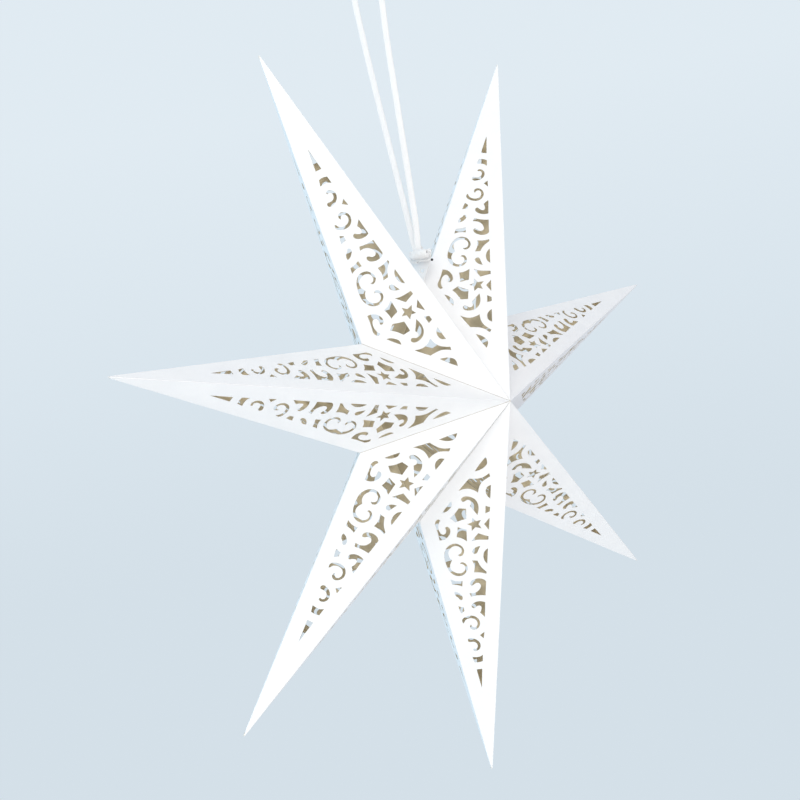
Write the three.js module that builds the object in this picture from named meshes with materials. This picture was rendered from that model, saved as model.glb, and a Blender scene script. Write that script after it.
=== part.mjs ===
// Folding paper star with seven points, hung point-down from its top valley by a cord loop.
// Units are millimetres, +Z is up and the front face looks along -Y; left and right are as seen
// from the front. The origin is the seat of the cord loop, the point the whole thing hangs from.
// The pieces are drawn about the star's own centre, and the star is set below the seat at the end.
import * as THREE from 'three';

// ---- star dimensions ----------------------------------------------------
const POINTS = 7;
const PITCH = 360 / POINTS;             // degrees between neighbouring points
const FIRST_POINT = 90 - PITCH / 2;     // degrees from +X towards +Z; puts a valley at the top
const TIP_RADIUS = 300;                 // centre to tip, in the star's mid plane
const VALLEY_RADIUS = 93;               // centre to valley, in the star's mid plane
const APEX_HEIGHT = 73;                 // front and back apex, from the mid plane
const CARD = 0.4;                       // card thickness, on the outer side of the fold planes

// clearance at the three sides of a panel:
// ridge is apex to tip, side is tip to valley, seam is valley to apex
const FRONT_CLEARANCE = { ridge: 0.5, side: 0.2, seam: 0.6 };
const BACK_CLEARANCE = { ridge: 1.4, side: 0.2, seam: 0.7 };

// cut-outs of one panel: [x from the apex along the ridge to the tip, y towards the valley]
const CUTOUTS = [
  [[44.5, 16.2], [49.8, 15.0], [54.6, 19.0], [56.5, 24.0]],
  [[57.3, 13.0], [59.8, 12.2], [64.2, 17.8], [73.2, 20.8], [70.6, 28.0], [72.8, 35.8],
    [62.6, 28.2]],
  [[91.4, 20.6], [84.0, 20.0], [78.0, 24.2], [77.2, 31.0], [80.0, 33.6], [80.6, 26.4]],
  [[98.8, 19.4], [102.0, 16.9], [101.3, 21.6], [104.6, 24.5], [100.6, 24.6],
    [99.3, 28.2], [97.8, 24.6], [93.8, 24.4], [96.4, 21.6], [95.3, 17.9]],
  [[86.9, 29.5], [95.0, 29.0], [98.4, 37.2], [95.4, 41.6], [87.0, 35.3]],
  [[103.8, 28.5], [113.4, 27.8], [110.4, 36.0], [102.3, 35.4]],
  [[103.0, 43.2], [107.5, 41.0], [112.6, 44.8], [114.0, 49.0], [100.5, 53.0], [97.3, 50.4],
    [107.0, 48.8]],
  [[128.8, 19.0], [137.5, 11.6], [139.2, 11.7], [138.6, 21.2], [128.8, 23.1]],
  [[124.6, 33.6], [123.4, 30.0], [117.4, 31.8], [116.2, 38.8], [122.2, 44.3], [134.0, 43.0],
    [142.2, 36.0], [139.0, 27.4], [131.2, 29.4], [138.8, 31.0], [138.0, 38.6], [129.8, 39.8],
    [121.0, 40.8], [119.2, 33.2]],
  [[145.6, 11.6], [157.2, 11.6], [159.1, 22.8], [156.3, 24.2], [152.6, 16.6], [147.6, 17.2],
    [149.6, 23.0], [144.6, 20.6]],
  [[207.7, 11.6], [213.2, 11.5], [214.6, 17.8], [210.4, 19.8]],
  [[220.0, 11.6], [236.5, 11.2], [220.8, 16.1]],
];

// ---- closing tab dimensions ---------------------------------------------
const TAB_TOP = 122.3;
const TAB_HALF_GAP = 0.15;              // half the gap between the two tabs

// the tab's two edges, either side of its level top: [y, z]
const TAB_BACK_EDGE = [
  [-6.5, 86.8], [-1, 93.9], [0, 96.2], [8, 105.2], [8.4, 112], [6.4, 121.2], [5, TAB_TOP],
];
const TAB_FRONT_EDGE = [
  [-13.8, TAB_TOP], [-15.2, 121], [-12.2, 111.2], [-3.4, 98.6], [-7.4, 88.4],
];

// star-shaped hole; squash scales its height
const PUNCH = { y: -3, z: 106.2, outer: 3.1, inner: 1.6, points: 7, squash: 0.72 };
// hole the lashing runs through
const EYELET = { y: -4, z: 116.8, radius: 2.0, sides: 10 };
// open slot in the left tab; depths are below the eyelet's centre
const SLOT = { halfWidth: 2.0, cornerDepth: 1.2, floorDepth: 2, floorHalfWidth: 0.9 };

// ---- cord dimensions ----------------------------------------------------
const CORD_WIDTH = 4.6;                 // along X
const CORD_THICKNESS = 2.0;
// the loop's level underside: its middle, and half the length of the run's centre line
const SEAT = { y: 13, z: 386.4, halfLength: 4 };
const LOOP_TOP = SEAT.z + CORD_THICKNESS / 2;   // centre line of the level run

// centre lines of the loop's strands, back going up and front coming down: [y, z]
const BACK_STRAND = [
  [3.2, 124.6], [9.6, 180], [17.4, 235], [24.6, 290], [28.0, 323], [29.0, 350],
  [26.4, 372], [19.6, 385], [SEAT.y + SEAT.halfLength, LOOP_TOP],
];
const FRONT_STRAND = [
  [SEAT.y - SEAT.halfLength, LOOP_TOP], [5.6, 385], [0.6, 374], [-1.6, 352], [-1.2, 318],
  [-0.6, 285], [-1.6, 230], [-2.6, 180], [-3.6, 124.6],
];
// how far each end of the level run moves outwards at the loop's two edges
const TOP_CORNER_SHIFT = { outer: 0.4, inner: -0.8 };
// bottom of the loop's opening, where the strands come together above the knot
const OPENING_FOOT = { backY: 0.5, frontY: -0.6, z: 131 };

const KNOT = { x: -5.1, y: -6.9, z: 118.9, length: 18, sides: 14 };
// rounding of either end of the knot: [radius, distance in from the end]
const KNOT_END = [[0, 0], [2.5, 0.5], [3.8, 2.2], [4.2, 4.6]];

// hook through the eyelet: nearX is its end at the knot, farX the middle of its upright
const LASHING = {
  nearX: -1.1, farX: 2.3, top: 124.2, thickness: 1.5, width: 2.2, cornerX: 0.3, cornerZ: 0.8,
};

const TAIL_SIDES = 10;
const TAILS = [
  { name: 'cord_tail_right', x: -5.0, backY: -5.0, frontY: -20.2, z: 113.4, radius: 1.0 },
  { name: 'cord_tail_left', x: -5.0, backY: 2.4, frontY: -3.6, z: 113.3, radius: 1.05 },
];

// ---- materials ----------------------------------------------------------
const cardMaterial = new THREE.MeshStandardMaterial({
  color: 0xf3f3f5, roughness: 0.72, metalness: 0,
});
const cordMaterial = new THREE.MeshStandardMaterial({
  color: 0xf1f0ec, roughness: 0.9, metalness: 0,
});

// ---- helpers ------------------------------------------------------------
const AXIS_X = new THREE.Vector3(1, 0, 0);
const AXIS_Y = new THREE.Vector3(0, 1, 0);
const AXIS_Z = new THREE.Vector3(0, 0, 1);

function namedMesh(name, geometry, material) {
  const mesh = new THREE.Mesh(geometry, material);
  mesh.name = name;
  return mesh;
}

// moves a mesh into the frame with these axes and origin
function setInFrame(mesh, xAxis, yAxis, zAxis, origin) {
  mesh.applyMatrix4(new THREE.Matrix4().makeBasis(xAxis, yAxis, zAxis).setPosition(origin));
  return mesh;
}

function outline(points, holes = []) {
  const shape = new THREE.Shape();
  points.forEach(([x, y], i) => (i ? shape.lineTo(x, y) : shape.moveTo(x, y)));
  shape.closePath();
  shape.holes.push(...holes.map((hole) => outline(hole)));
  return shape;
}

function plate(shape, depth) {
  return new THREE.ExtrudeGeometry(shape, { depth, bevelEnabled: false, curveSegments: 1 });
}

// a flat piece drawn in the Y-Z plane and extruded along X
function plateAlongX(name, shape, startX, thickness, material) {
  const mesh = namedMesh(name, plate(shape, thickness), material);
  return setInFrame(mesh, AXIS_Y, AXIS_Z, AXIS_X, new THREE.Vector3(startX, 0, 0));
}

// ---- the star's panels --------------------------------------------------
// point in the mid plane at an angle from +X towards +Z
function midPlanePoint(degrees, radius) {
  const angle = THREE.MathUtils.degToRad(degrees);
  return new THREE.Vector3(Math.cos(angle) * radius, 0, Math.sin(angle) * radius);
}

// triangle with each side moved inwards; clearances[i] is for the side from corner i to the next
function insetTriangle(corners, clearances) {
  // each side as a line: its unit normal [nx, ny] points inwards, and nx * x + ny * y = offset
  const sides = corners.map(([startX, startY], i) => {
    const [endX, endY] = corners[(i + 1) % 3];
    const [oppositeX, oppositeY] = corners[(i + 2) % 3];
    const length = Math.hypot(endX - startX, endY - startY);
    let nx = (startY - endY) / length;
    let ny = (endX - startX) / length;
    if (nx * (oppositeX - startX) + ny * (oppositeY - startY) < 0) {
      nx = -nx;
      ny = -ny;
    }
    return { nx, ny, offset: nx * startX + ny * startY + clearances[i] };
  });
  const crossing = (one, other) => {
    const determinant = one.nx * other.ny - one.ny * other.nx;
    return [
      (one.offset * other.ny - one.ny * other.offset) / determinant,
      (one.nx * other.offset - one.offset * other.nx) / determinant,
    ];
  };
  return sides.map((side, i) => crossing(sides[(i + 2) % 3], side));
}

// one pierced triangular panel between an apex, a tip and a valley
function panel(name, apex, tip, valley, clearance) {
  // the panel's own frame: x along the ridge, y towards the valley, z square to the card
  const xAxis = tip.clone().sub(apex);
  const ridgeLength = xAxis.length();
  xAxis.normalize();
  const toValley = valley.clone().sub(apex);
  const valleyX = toValley.dot(xAxis);
  const yAxis = toValley.clone().addScaledVector(xAxis, -valleyX);
  const valleyY = yAxis.length();
  yAxis.normalize();
  const zAxis = new THREE.Vector3().crossVectors(xAxis, yAxis);

  const triangle = insetTriangle(
    [[0, 0], [ridgeLength, 0], [valleyX, valleyY]],
    [clearance.ridge, clearance.side, clearance.seam],
  );
  const geometry = plate(outline(triangle, CUTOUTS), CARD);

  // the card lies outside the fold plane, on the side away from a place inside the point
  const insidePoint = tip.clone().multiplyScalar(0.35);
  const centroid = apex.clone().add(tip).add(valley).divideScalar(3);
  if (zAxis.dot(centroid.sub(insidePoint)) <= 0) geometry.translate(0, 0, -CARD);

  return setInFrame(namedMesh(name, geometry, cardMaterial), xAxis, yAxis, zAxis, apex);
}

// the four panels of one star point
function pointPanels(number) {
  const angle = FIRST_POINT - PITCH * (number - 1);
  const tip = midPlanePoint(angle, TIP_RADIUS);
  // left is the valley anticlockwise of the tip, seen from the front
  const valleys = {
    left: midPlanePoint(angle + PITCH / 2, VALLEY_RADIUS),
    right: midPlanePoint(angle - PITCH / 2, VALLEY_RADIUS),
  };
  const faces = [
    { face: 'front', apexY: -APEX_HEIGHT, clearance: FRONT_CLEARANCE },
    { face: 'back', apexY: APEX_HEIGHT, clearance: BACK_CLEARANCE },
  ];
  return faces.flatMap(({ face, apexY, clearance }) => {
    const apex = new THREE.Vector3(0, apexY, 0);
    return Object.entries(valleys).map(([side, valley]) => (
      panel(`point_${number}_${face}_${side}`, apex, tip, valley, clearance)));
  });
}

// ---- closing tabs -------------------------------------------------------
function punchPoints() {
  return Array.from({ length: 2 * PUNCH.points }, (_, i) => {
    const radius = i % 2 ? PUNCH.inner : PUNCH.outer;
    const angle = (Math.PI * i) / PUNCH.points + Math.PI / 2;
    return [
      PUNCH.y + radius * Math.cos(angle),
      PUNCH.z + PUNCH.squash * radius * Math.sin(angle),
    ];
  });
}

function eyeletPoints() {
  return Array.from({ length: EYELET.sides }, (_, i) => {
    const angle = (2 * Math.PI * i) / EYELET.sides;
    return [
      EYELET.y + EYELET.radius * Math.cos(angle),
      EYELET.z + EYELET.radius * Math.sin(angle),
    ];
  });
}

// the right tab has a closed eyelet
function rightTab() {
  const shape = outline([...TAB_BACK_EDGE, ...TAB_FRONT_EDGE], [punchPoints(), eyeletPoints()]);
  return plateAlongX('closing_tab_right', shape, TAB_HALF_GAP, CARD, cardMaterial);
}

// the left tab comes away, so it has a slot open at the top in place of the eyelet
function leftTab() {
  const cornerZ = EYELET.z - SLOT.cornerDepth;
  const floorZ = EYELET.z - SLOT.floorDepth;
  const slot = [
    [EYELET.y + SLOT.halfWidth, TAB_TOP],
    [EYELET.y + SLOT.halfWidth, cornerZ],
    [EYELET.y + SLOT.floorHalfWidth, floorZ],
    [EYELET.y - SLOT.floorHalfWidth, floorZ],
    [EYELET.y - SLOT.halfWidth, cornerZ],
    [EYELET.y - SLOT.halfWidth, TAB_TOP],
  ];
  const shape = outline([...TAB_BACK_EDGE, ...slot, ...TAB_FRONT_EDGE], [punchPoints()]);
  return plateAlongX('closing_tab_left', shape, -TAB_HALF_GAP - CARD, CARD, cardMaterial);
}

// ---- hanging cord -------------------------------------------------------
// one edge of the loop: its centre line moved outwards by distance, with a level run at the top
function loopEdge(distance, cornerShift) {
  const path = [...BACK_STRAND, ...FRONT_STRAND];
  const edge = path.map(([y, z], i) => {
    const before = path[Math.max(i - 1, 0)];
    const after = path[Math.min(i + 1, path.length - 1)];
    const dy = after[0] - before[0];
    const dz = after[1] - before[1];
    const length = Math.hypot(dy, dz);
    return [y + (distance * dz) / length, z - (distance * dy) / length];
  });
  const cornerY = SEAT.halfLength + cornerShift;
  const cornerZ = LOOP_TOP + distance;
  edge.splice(
    BACK_STRAND.length - 1, 2,
    [SEAT.y + cornerY, cornerZ], [SEAT.y - cornerY, cornerZ],
  );
  return edge;
}

function cordLoop() {
  const outer = loopEdge(CORD_THICKNESS / 2, TOP_CORNER_SHIFT.outer);
  const opening = [
    [OPENING_FOOT.backY, OPENING_FOOT.z],
    ...loopEdge(-CORD_THICKNESS / 2, TOP_CORNER_SHIFT.inner).slice(1, -1),
    [OPENING_FOOT.frontY, OPENING_FOOT.z],
  ];
  const shape = outline(outer, [opening]);
  return plateAlongX('hanging_cord', shape, -CORD_WIDTH / 2, CORD_WIDTH, cordMaterial);
}

// a barrel lying along Y, to the left of the tabs
function cordKnot() {
  const half = KNOT.length / 2;
  const profile = [
    ...KNOT_END.map(([radius, inset]) => new THREE.Vector2(radius, inset - half)),
    ...KNOT_END.map(([radius, inset]) => new THREE.Vector2(radius, half - inset)).reverse(),
  ];
  const geometry = new THREE.LatheGeometry(profile, KNOT.sides);
  const knot = namedMesh('cord_knot', geometry, cordMaterial);
  knot.position.set(KNOT.x, KNOT.y, KNOT.z);
  return knot;
}

// the cord's turn through the tabs: from the knot through the eyelet and up on the right
function cordLashing() {
  const { nearX, farX, top, thickness, width, cornerX, cornerZ } = LASHING;
  const bottom = EYELET.z - thickness / 2;
  const outerX = farX + thickness / 2;
  const innerX = farX - thickness / 2;
  // [x, z]
  const hook = outline([
    [nearX, bottom], [farX - cornerX, bottom], [outerX, bottom + cornerZ], [outerX, top],
    [innerX, top], [innerX, bottom + thickness], [nearX, bottom + thickness],
  ]);
  const mesh = namedMesh('cord_lashing', plate(hook, width), cordMaterial);
  const origin = new THREE.Vector3(0, EYELET.y + width / 2, 0);
  return setInFrame(mesh, AXIS_X, AXIS_Z, AXIS_Y.clone().negate(), origin);
}

// one of the cord's two cut ends, lying along Y
function cordTail({ name, x, backY, frontY, z, radius }) {
  const geometry = new THREE.CylinderGeometry(radius, radius, backY - frontY, TAIL_SIDES);
  const tail = namedMesh(name, geometry, cordMaterial);
  tail.position.set(x, (backY + frontY) / 2, z);
  return tail;
}

// ---- assembly -----------------------------------------------------------
const star = new THREE.Group();
for (let number = 1; number <= POINTS; number += 1) {
  star.add(...pointPanels(number));
}
star.add(rightTab(), leftTab());
star.add(cordLoop(), cordKnot(), cordLashing(), ...TAILS.map(cordTail));
star.position.set(0, -SEAT.y, -SEAT.z);

const hungStar = new THREE.Group();
hungStar.add(star);

export default hungStar;
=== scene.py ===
# A seven-pointed star of pierced, folded card, hanging from a braided cord.
# The star lies in the XZ plane with its front apex towards -Y. The row frame's origin is near the
# top of the cord's loop. Shapes are in millimetres from the star's centre; Build.make turns them
# into row-frame metres. The studio is in metres throughout.
import math

import bpy
import numpy as np
from mathutils import Matrix, Vector
from mathutils.geometry import delaunay_2d_cdt


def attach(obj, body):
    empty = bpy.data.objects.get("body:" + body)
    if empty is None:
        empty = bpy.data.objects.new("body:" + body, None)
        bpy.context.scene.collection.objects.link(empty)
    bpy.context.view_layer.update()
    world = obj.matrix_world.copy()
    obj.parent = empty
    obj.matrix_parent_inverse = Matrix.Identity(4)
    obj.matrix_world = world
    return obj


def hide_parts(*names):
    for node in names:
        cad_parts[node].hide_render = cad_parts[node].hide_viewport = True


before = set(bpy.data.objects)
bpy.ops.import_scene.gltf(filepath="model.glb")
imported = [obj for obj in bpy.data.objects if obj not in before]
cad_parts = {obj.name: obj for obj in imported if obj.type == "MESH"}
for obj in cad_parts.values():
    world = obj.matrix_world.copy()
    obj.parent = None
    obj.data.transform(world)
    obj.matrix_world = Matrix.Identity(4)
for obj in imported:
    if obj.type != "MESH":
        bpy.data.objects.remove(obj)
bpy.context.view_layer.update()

# ------------------------------------------------------------------ the star's sizes
STAR_CENTRE = np.array([0.0, -13.0, -386.4])     # in the row frame
POINTS = 7
TIP_R = 300.0                                    # centre to tip
VALLEY_R = 93.0                                  # centre to the valley between two points
APEX = 73.0                                      # front and back apex, off the tips' plane
CARD = 0.4                                       # card thickness
PITCH = 360.0 / POINTS
FIRST_ANGLE = round(90 - PITCH / 2, 6)           # point 1, so that a valley lies straight up

# material slots of the card meshes and of the cord meshes
OUTER, INNER, CUT_EDGE = 0, 1, 2
YARN, CORE, SEALED = 0, 1, 2


# ------------------------------------------------------------------ vectors and curves
def radial(degrees, radius):
    angle = math.radians(degrees)
    return np.array([math.cos(angle) * radius, 0.0, math.sin(angle) * radius])


def unit(v):
    v = np.asarray(v, float)
    return v / np.linalg.norm(v, axis=-1, keepdims=True)


def hermite(start, end, start_slope, end_slope, span, u):
    """Point at fraction u of a cubic whose end slopes are given per unit of span."""
    return ((2 * u ** 3 - 3 * u ** 2 + 1) * start
            + (u ** 3 - 2 * u ** 2 + u) * start_slope * span
            + (-2 * u ** 3 + 3 * u ** 2) * end
            + (u ** 3 - u ** 2) * end_slope * span)


def smooth_loop(points, step, straight):
    """An anticlockwise closed loop through (x, y, corner) points, curved except at the corners.

    step is the spacing along curves, straight the spacing between two corners."""
    p = np.array([(x, y) for x, y, _ in points], float)
    corner = [bool(c) for _, _, c in points]
    n = len(p)
    area = 0.5 * np.sum(p[:, 0] * np.roll(p[:, 1], -1) - np.roll(p[:, 0], -1) * p[:, 1])
    if area < 0:
        p, corner = p[::-1], corner[::-1]
    gap = np.linalg.norm(np.roll(p, -1, 0) - p, axis=1)
    chord = (np.roll(p, -1, 0) - p) / gap[:, None]
    slopes = []
    for i in range(n):
        blend = (chord[i - 1] * gap[i] + chord[i] * gap[i - 1]) / (gap[i] + gap[i - 1])
        slopes.append(None if corner[i] else blend)
    out = []
    for i in range(n):
        j = (i + 1) % n
        start, end = slopes[i], slopes[j]
        if start is None and end is None:
            count = max(1, int(math.ceil(gap[i] / straight)))
            out += [p[i] + (p[j] - p[i]) * t / count for t in range(count)]
            continue
        if start is None:
            start = 1.5 * chord[i] - 0.5 * end
        if end is None:
            end = 1.5 * chord[i] - 0.5 * start
        count = max(2, int(math.ceil(gap[i] / step)))
        out += [hermite(p[i], p[j], start, end, gap[i], t / count) for t in range(count)]
    return np.array(out)


def loop_normals(loop):
    """Outward normals of an anticlockwise loop, lengthened a little at corners."""
    edge = unit(np.roll(loop, -1, 0) - loop)
    normal = np.stack([edge[:, 1], -edge[:, 0]], 1)
    total = normal + np.roll(normal, 1, 0)
    scale = np.maximum(np.sum(total * total, 1) / 2, 0.5)
    return total / scale[:, None]


# ------------------------------------------------------------------ flat regions
def side_normal(start, end, towards):
    """Unit normal of a flat line, on the side that towards points to."""
    normal = np.array([-(end - start)[1], (end - start)[0]])
    normal /= np.linalg.norm(normal)
    return -normal if np.dot(normal, towards) < 0 else normal


def inset_triangle(corners, clearances):
    """The triangle's corners once each side is moved in by its (start, end) clearance."""
    lines = []
    for i, (at_start, at_end) in enumerate(clearances):
        start, end, opposite = (np.array(corners[(i + k) % 3], float) for k in range(3))
        inward = side_normal(start, end, opposite - start)
        start, end = start + inward * at_start, end + inward * at_end
        normal = side_normal(start, end, inward)
        lines.append((normal, np.dot(normal, start)))

    def meet(a, b):
        return np.linalg.solve(np.array([a[0], b[0]]), np.array([a[1], b[1]]))
    return [meet(lines[2], lines[0]), meet(lines[0], lines[1]), meet(lines[1], lines[2])]


def in_polygon(points, polygon):
    x, y = points[:, 0][:, None], points[:, 1][:, None]
    x0, y0 = polygon[:, 0][None], polygon[:, 1][None]
    x1, y1 = np.roll(polygon[:, 0], -1)[None], np.roll(polygon[:, 1], -1)[None]
    rise = np.where(y1 == y0, 1e-12, y1 - y0)
    crossed = ((y0 > y) != (y1 > y)) & (x < (x1 - x0) * (y - y0) / rise + x0)
    return crossed.sum(1) % 2 == 1


def triangulate(loops, grid):
    """Anticlockwise triangles over loops[0] less the other loops, using the grid points inside.

    Indices count through the loops in order, then the grid."""
    verts = [tuple(map(float, v)) for loop in loops for v in loop]
    verts += [tuple(map(float, v)) for v in grid]
    edges, first = [], 0
    for loop in loops:
        n = len(loop)
        edges += [(first + i, first + (i + 1) % n) for i in range(n)]
        first += n
    result = delaunay_2d_cdt([Vector(v) for v in verts], edges, [], 1, 1e-6)
    source = []
    for place, origins in zip(result[0], result[3]):
        if len(origins) == 0:
            raise RuntimeError("cut-outs cross each other near %s" % (tuple(place),))
        source.append(origins[0])
    triangles = np.array([[source[i] for i in face] for face in result[2]])
    v = np.array(verts)
    middle = v[triangles].mean(1)
    keep = np.ones(len(triangles), bool)
    for hole in loops[1:]:
        keep &= ~in_polygon(middle, hole)
    triangles = triangles[keep]
    a, b, c = (v[triangles[:, i]] for i in range(3))
    area = ((b[:, 0] - a[:, 0]) * (c[:, 1] - a[:, 1])
            - (b[:, 1] - a[:, 1]) * (c[:, 0] - a[:, 0]))
    solid = np.abs(area) > 1e-7
    triangles, area = triangles[solid], area[solid]
    triangles[area < 0] = triangles[area < 0][:, ::-1]
    return triangles


def grid_points(bounds, spacing, loops, clear):
    """Staggered grid points inside loops[0] and at least clear away from every loop."""
    (x0, y0), (x1, y1) = bounds
    points, row, y = [], 0, y0
    while y < y1:
        x = x0 + (spacing / 2 if row % 2 else 0)
        while x < x1:
            points.append((x, y))
            x += spacing
        y += spacing * 0.866
        row += 1
    points = np.array(points)
    points = points[in_polygon(points, loops[0])]
    samples = []
    for loop in loops:
        for a, b in zip(loop, np.roll(loop, -1, 0)):
            count = max(1, int(np.linalg.norm(b - a) / 0.7))
            samples += [a + (b - a) * t / count for t in range(count)]
    samples = np.array(samples)
    keep = np.array([np.min(np.sum((samples - p) ** 2, 1)) > clear ** 2 for p in points])
    return points[keep]


# ------------------------------------------------------------------ shader nodes
class Nodes:
    """Short way to add and join the shader nodes of a material or world, starting from none."""

    def __init__(self, owner):
        owner.use_nodes = True
        self.tree = owner.node_tree
        self.tree.nodes.clear()

    def add(self, kind, inputs=None, **settings):
        """A node with its inputs, by name or number, each set to a value or joined to a socket."""
        node = self.tree.nodes.new(kind)
        for name, value in settings.items():
            setattr(node, name, value)
        for key, value in (inputs or {}).items():
            socket = node.inputs[key]
            if isinstance(value, bpy.types.NodeSocket):
                self.tree.links.new(value, socket)
            elif socket.type == "RGBA" and len(value) == 3:
                socket.default_value = (*value, 1.0)
            else:
                socket.default_value = value
        return node

    def noise(self, vector, output="Fac", **inputs):
        node = self.add("ShaderNodeTexNoise", {"Vector": vector, **inputs})
        return node.outputs[output]

    def mapping(self, vector, **inputs):
        return self.add("ShaderNodeMapping", {"Vector": vector, **inputs}).outputs["Vector"]

    def math(self, operation, *values):
        node = self.add("ShaderNodeMath", dict(enumerate(values)), operation=operation)
        return node.outputs[0]

    def mix(self, factor, a, b):
        """Colour mix; a Mix node keeps its colour sockets at 6, 7 and output 2."""
        node = self.add("ShaderNodeMix", {0: factor, 6: a, 7: b}, data_type="RGBA")
        return node.outputs[2]

    def ramp(self, factor, stops):
        """Colour ramp through (position, colour) stops."""
        node = self.add("ShaderNodeValToRGB", {"Fac": factor})
        elements = node.color_ramp.elements
        while len(elements) > 1:
            elements.remove(elements[0])
        elements[0].position = stops[0][0]
        elements[0].color = (*stops[0][1], 1.0)
        for position, colour in stops[1:]:
            elements.new(position).color = (*colour, 1.0)
        return node.outputs["Color"]

    def see_through_surface(self, surface, normal, colour, share):
        """Ends the material: surface, with a share of light passing through it."""
        through = self.add("ShaderNodeBsdfTranslucent", {"Color": colour})
        if normal is not None:
            self.tree.links.new(normal, through.inputs["Normal"])
        mixed = self.add("ShaderNodeMixShader", {"Fac": share, 1: surface.outputs["BSDF"],
                                                 2: through.outputs["BSDF"]})
        self.add("ShaderNodeOutputMaterial", {"Surface": mixed.outputs["Shader"]})


# ------------------------------------------------------------------ materials
def card_material(name, dark, light, see_through, see_colour, rough, bump, speck,
                  glow=0.0, glow_colour=None):
    """Card: mottled fibre, a felt-marked surface, a few specks, and some light through it; glow
    adds uneven patches of painted light as emission.

    The texture lies on the card by its own flat coordinates, in millimetres."""
    material = bpy.data.materials.new(name)
    nodes = Nodes(material)
    uv = nodes.add("ShaderNodeUVMap", uv_map="card_mm").outputs["UV"]
    flat = nodes.mapping(uv)
    cloud = nodes.noise(flat, Scale=0.045, Detail=4.0, Roughness=0.6)
    fibre = nodes.noise(flat, Scale=1.6, Detail=6.0, Roughness=0.7, Distortion=0.6)
    stretched = nodes.mapping(uv, Scale=(1.0, 3.2, 1.0), Rotation=(0, 0, 0.5))
    strand = nodes.noise(stretched, Scale=0.9, Detail=7.0, Roughness=0.75, Distortion=1.2)

    # felt marks: a fine, slightly irregular dot grid pressed into the sheet
    warp = nodes.noise(flat, output="Color", Scale=0.35, Detail=2.0)
    warped = nodes.add("ShaderNodeVectorMath", {0: warp, 1: (0.5, 0.5, 0.0), 2: flat},
                       operation="MULTIPLY_ADD")
    dots = nodes.add("ShaderNodeTexVoronoi", {"Vector": warped.outputs["Vector"],
                                              "Scale": 1.35, "Randomness": 0.35},
                     feature="SMOOTH_F1").outputs["Distance"]
    speckle = nodes.add("ShaderNodeTexVoronoi", {"Vector": flat, "Scale": 0.16,
                                                 "Randomness": 1.0}).outputs["Distance"]
    spot = nodes.math("LESS_THAN", speckle, speck)

    tone = nodes.math("ADD", nodes.math("MULTIPLY", cloud, 0.55),
                      nodes.math("MULTIPLY", fibre, 0.45))
    colour = nodes.ramp(tone, [(0.34, dark), (0.62, light)])
    colour = nodes.mix(nodes.math("MULTIPLY", spot, 0.22), colour,
                       tuple(c * 0.72 for c in dark))
    height = nodes.math("ADD", nodes.math("MULTIPLY", dots, 0.55),
                        nodes.math("ADD", nodes.math("MULTIPLY", strand, 0.6),
                                   nodes.math("MULTIPLY", fibre, 0.5)))
    normal = nodes.add("ShaderNodeBump", {"Strength": bump, "Distance": 0.00012,
                                          "Height": height}).outputs["Normal"]
    roughness = nodes.math("ADD", nodes.math("MULTIPLY", fibre, 0.16), rough - 0.08)
    surface = nodes.add("ShaderNodeBsdfPrincipled", {
        "Base Color": colour, "Roughness": roughness, "Specular IOR Level": 0.35,
        "Sheen Weight": 0.08, "Sheen Roughness": 0.4, "Normal": normal,
        "Emission Strength": glow})
    if glow:                                     # painted light: uneven patches of emission, standing in for light that reaches the inside of the star
        pool = nodes.noise(flat, Scale=0.075, Detail=1.5, Roughness=0.45, Distortion=0.4)
        patch = nodes.ramp(pool, [(position, tuple(c * gain for c in glow_colour))
                                  for position, gain in ((0.36, 0.05), (0.5, 0.85), (0.64, 2.3))])
        nodes.tree.links.new(nodes.mix(0.9, colour, patch), surface.inputs["Emission Color"])
    nodes.see_through_surface(surface, normal, see_colour, see_through)
    return material


def cord_material(name, dark, light, glow=0.0):
    """Spun yarn: fine filaments wound round each strand, laid by its own length and girth.

    glow is painted light: emission standing in for light that white filaments pass on from strand
    to strand."""
    material = bpy.data.materials.new(name)
    nodes = Nodes(material)
    uv = nodes.add("ShaderNodeUVMap", uv_map="yarn_mm").outputs["UV"]
    twisted = nodes.mapping(uv, Rotation=(0, 0, 0.6))
    ply = nodes.add("ShaderNodeTexWave", {"Vector": twisted, "Scale": 2.4, "Distortion": 1.6,
                                          "Detail": 3.0, "Detail Scale": 2.0}).outputs["Fac"]
    fuzz = nodes.noise(twisted, Scale=6.0, Detail=5.0, Roughness=0.7)
    drift = nodes.noise(uv, Scale=0.12, Detail=3.0)
    tone = nodes.math("ADD", nodes.math("MULTIPLY", ply, 0.35),
                      nodes.math("ADD", nodes.math("MULTIPLY", fuzz, 0.3),
                                 nodes.math("MULTIPLY", drift, 0.35)))
    colour = nodes.ramp(tone, [(0.2, dark), (0.7, light)])
    height = nodes.math("ADD", nodes.math("MULTIPLY", ply, 0.7),
                        nodes.math("MULTIPLY", fuzz, 0.5))
    bump = nodes.add("ShaderNodeBump", {"Strength": 0.55, "Distance": 0.00015,
                                        "Height": height})
    surface = nodes.add("ShaderNodeBsdfPrincipled", {
        "Base Color": colour, "Roughness": 0.72, "Sheen Weight": 0.35, "Sheen Roughness": 0.35,
        "Specular IOR Level": 0.3, "Normal": bump.outputs["Normal"],
        "Emission Strength": glow})
    # painted light: the yarn's own colour given off as emission
    if glow:
        nodes.tree.links.new(colour, surface.inputs["Emission Color"])
    nodes.see_through_surface(surface, None, light, 0.12)
    return material


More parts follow.
